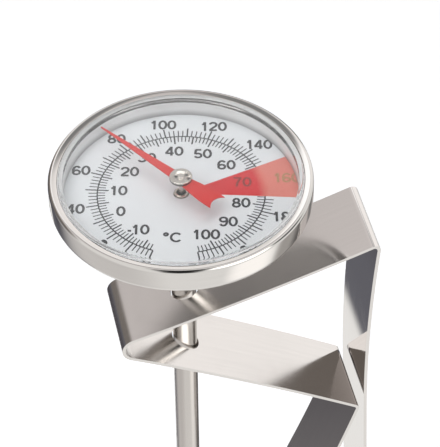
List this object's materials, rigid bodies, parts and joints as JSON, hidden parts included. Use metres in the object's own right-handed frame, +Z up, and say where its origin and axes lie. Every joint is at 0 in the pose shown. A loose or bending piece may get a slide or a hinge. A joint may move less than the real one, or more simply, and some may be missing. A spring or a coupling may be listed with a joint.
{
  "type": "clip-on dial thermometer",
  "caption": "Round dial thermometer on a thin straight probe that slides through a bent strip clip, which grips the wall of a tray or tank.",
  "frame": {"origin": "the line where the clip grips a vessel's wall, in the middle of the jaw's gap and of the strip's width", "axes": "+Z up along the probe, from its tip to the dial; +X from the probe to the clip's back leg; +Y along the strip's width"},
  "size_m": [0.0574, 0.045, 0.171],
  "materials": {
    "spring_steel": "bright rolled stainless spring strip, nearly mirror smooth",
    "stem_steel": "drawn stainless tube, polished along its length",
    "nut_steel": "turned stainless hexagon",
    "case_steel": "pressed stainless cup, satin",
    "bezel_steel": "polished stainless rim",
    "spacer_aluminium": "satin rolled ring",
    "clear_glass": "clear, slightly domed",
    "dial_paint": "pale silver grey with printed scales and a red zone",
    "pointer_paint": "smooth red enamel",
    "hub_metal": "turned and polished",
    "brass": "turned brass",
    "bimetal": "rolled two-metal strip",
    "seal_rubber": "pale translucent silicone seal"
  },
  "bodies": {
    "clip": {"clip": "spring_steel"},
    "stem": {"stem_tube": "stem_steel", "tip_plug": "stem_steel", "coil_anchor": "brass", "bimetal_coil": "bimetal", "shaft_guide_lower": "brass", "shaft_guide_upper": "brass", "neck_bushing": "brass", "shaft_bearing": "brass", "calibration_nut": "nut_steel", "spring_washer": "spring_steel"},
    "head": {"case_cup": "case_steel", "bezel_ring": "bezel_steel", "lens_gasket": "seal_rubber", "crystal": "clear_glass", "spacer_ring": "spacer_aluminium", "dial_plate": "dial_paint"},
    "pointer": {"pointer": "pointer_paint", "pointer_hub": "hub_metal", "pointer_shaft": "stem_steel", "coil_collar": "brass"}
  },
  "joints": [
    {"name": "stem_slide", "type": "slide", "parent": "clip", "child": "stem", "axis": [0, 0, 1], "range_m": [-0.014, 0.12]},
    {"name": "calibration_turn", "type": "hinge", "parent": "stem", "child": "head", "pos_m": [-0.0322, 0, 0.0534], "axis": [0, 0, 1], "continuous": true},
    {"name": "pointer_turn", "type": "hinge", "parent": "stem", "child": "pointer", "pos_m": [-0.0322, 0, 0.0592], "axis": [0, 0, 1], "range_deg": [-215.25, 114.75], "stiffness_Nm_per_rad": 0.00002, "deforming": ["bimetal_coil"]}
  ]
}
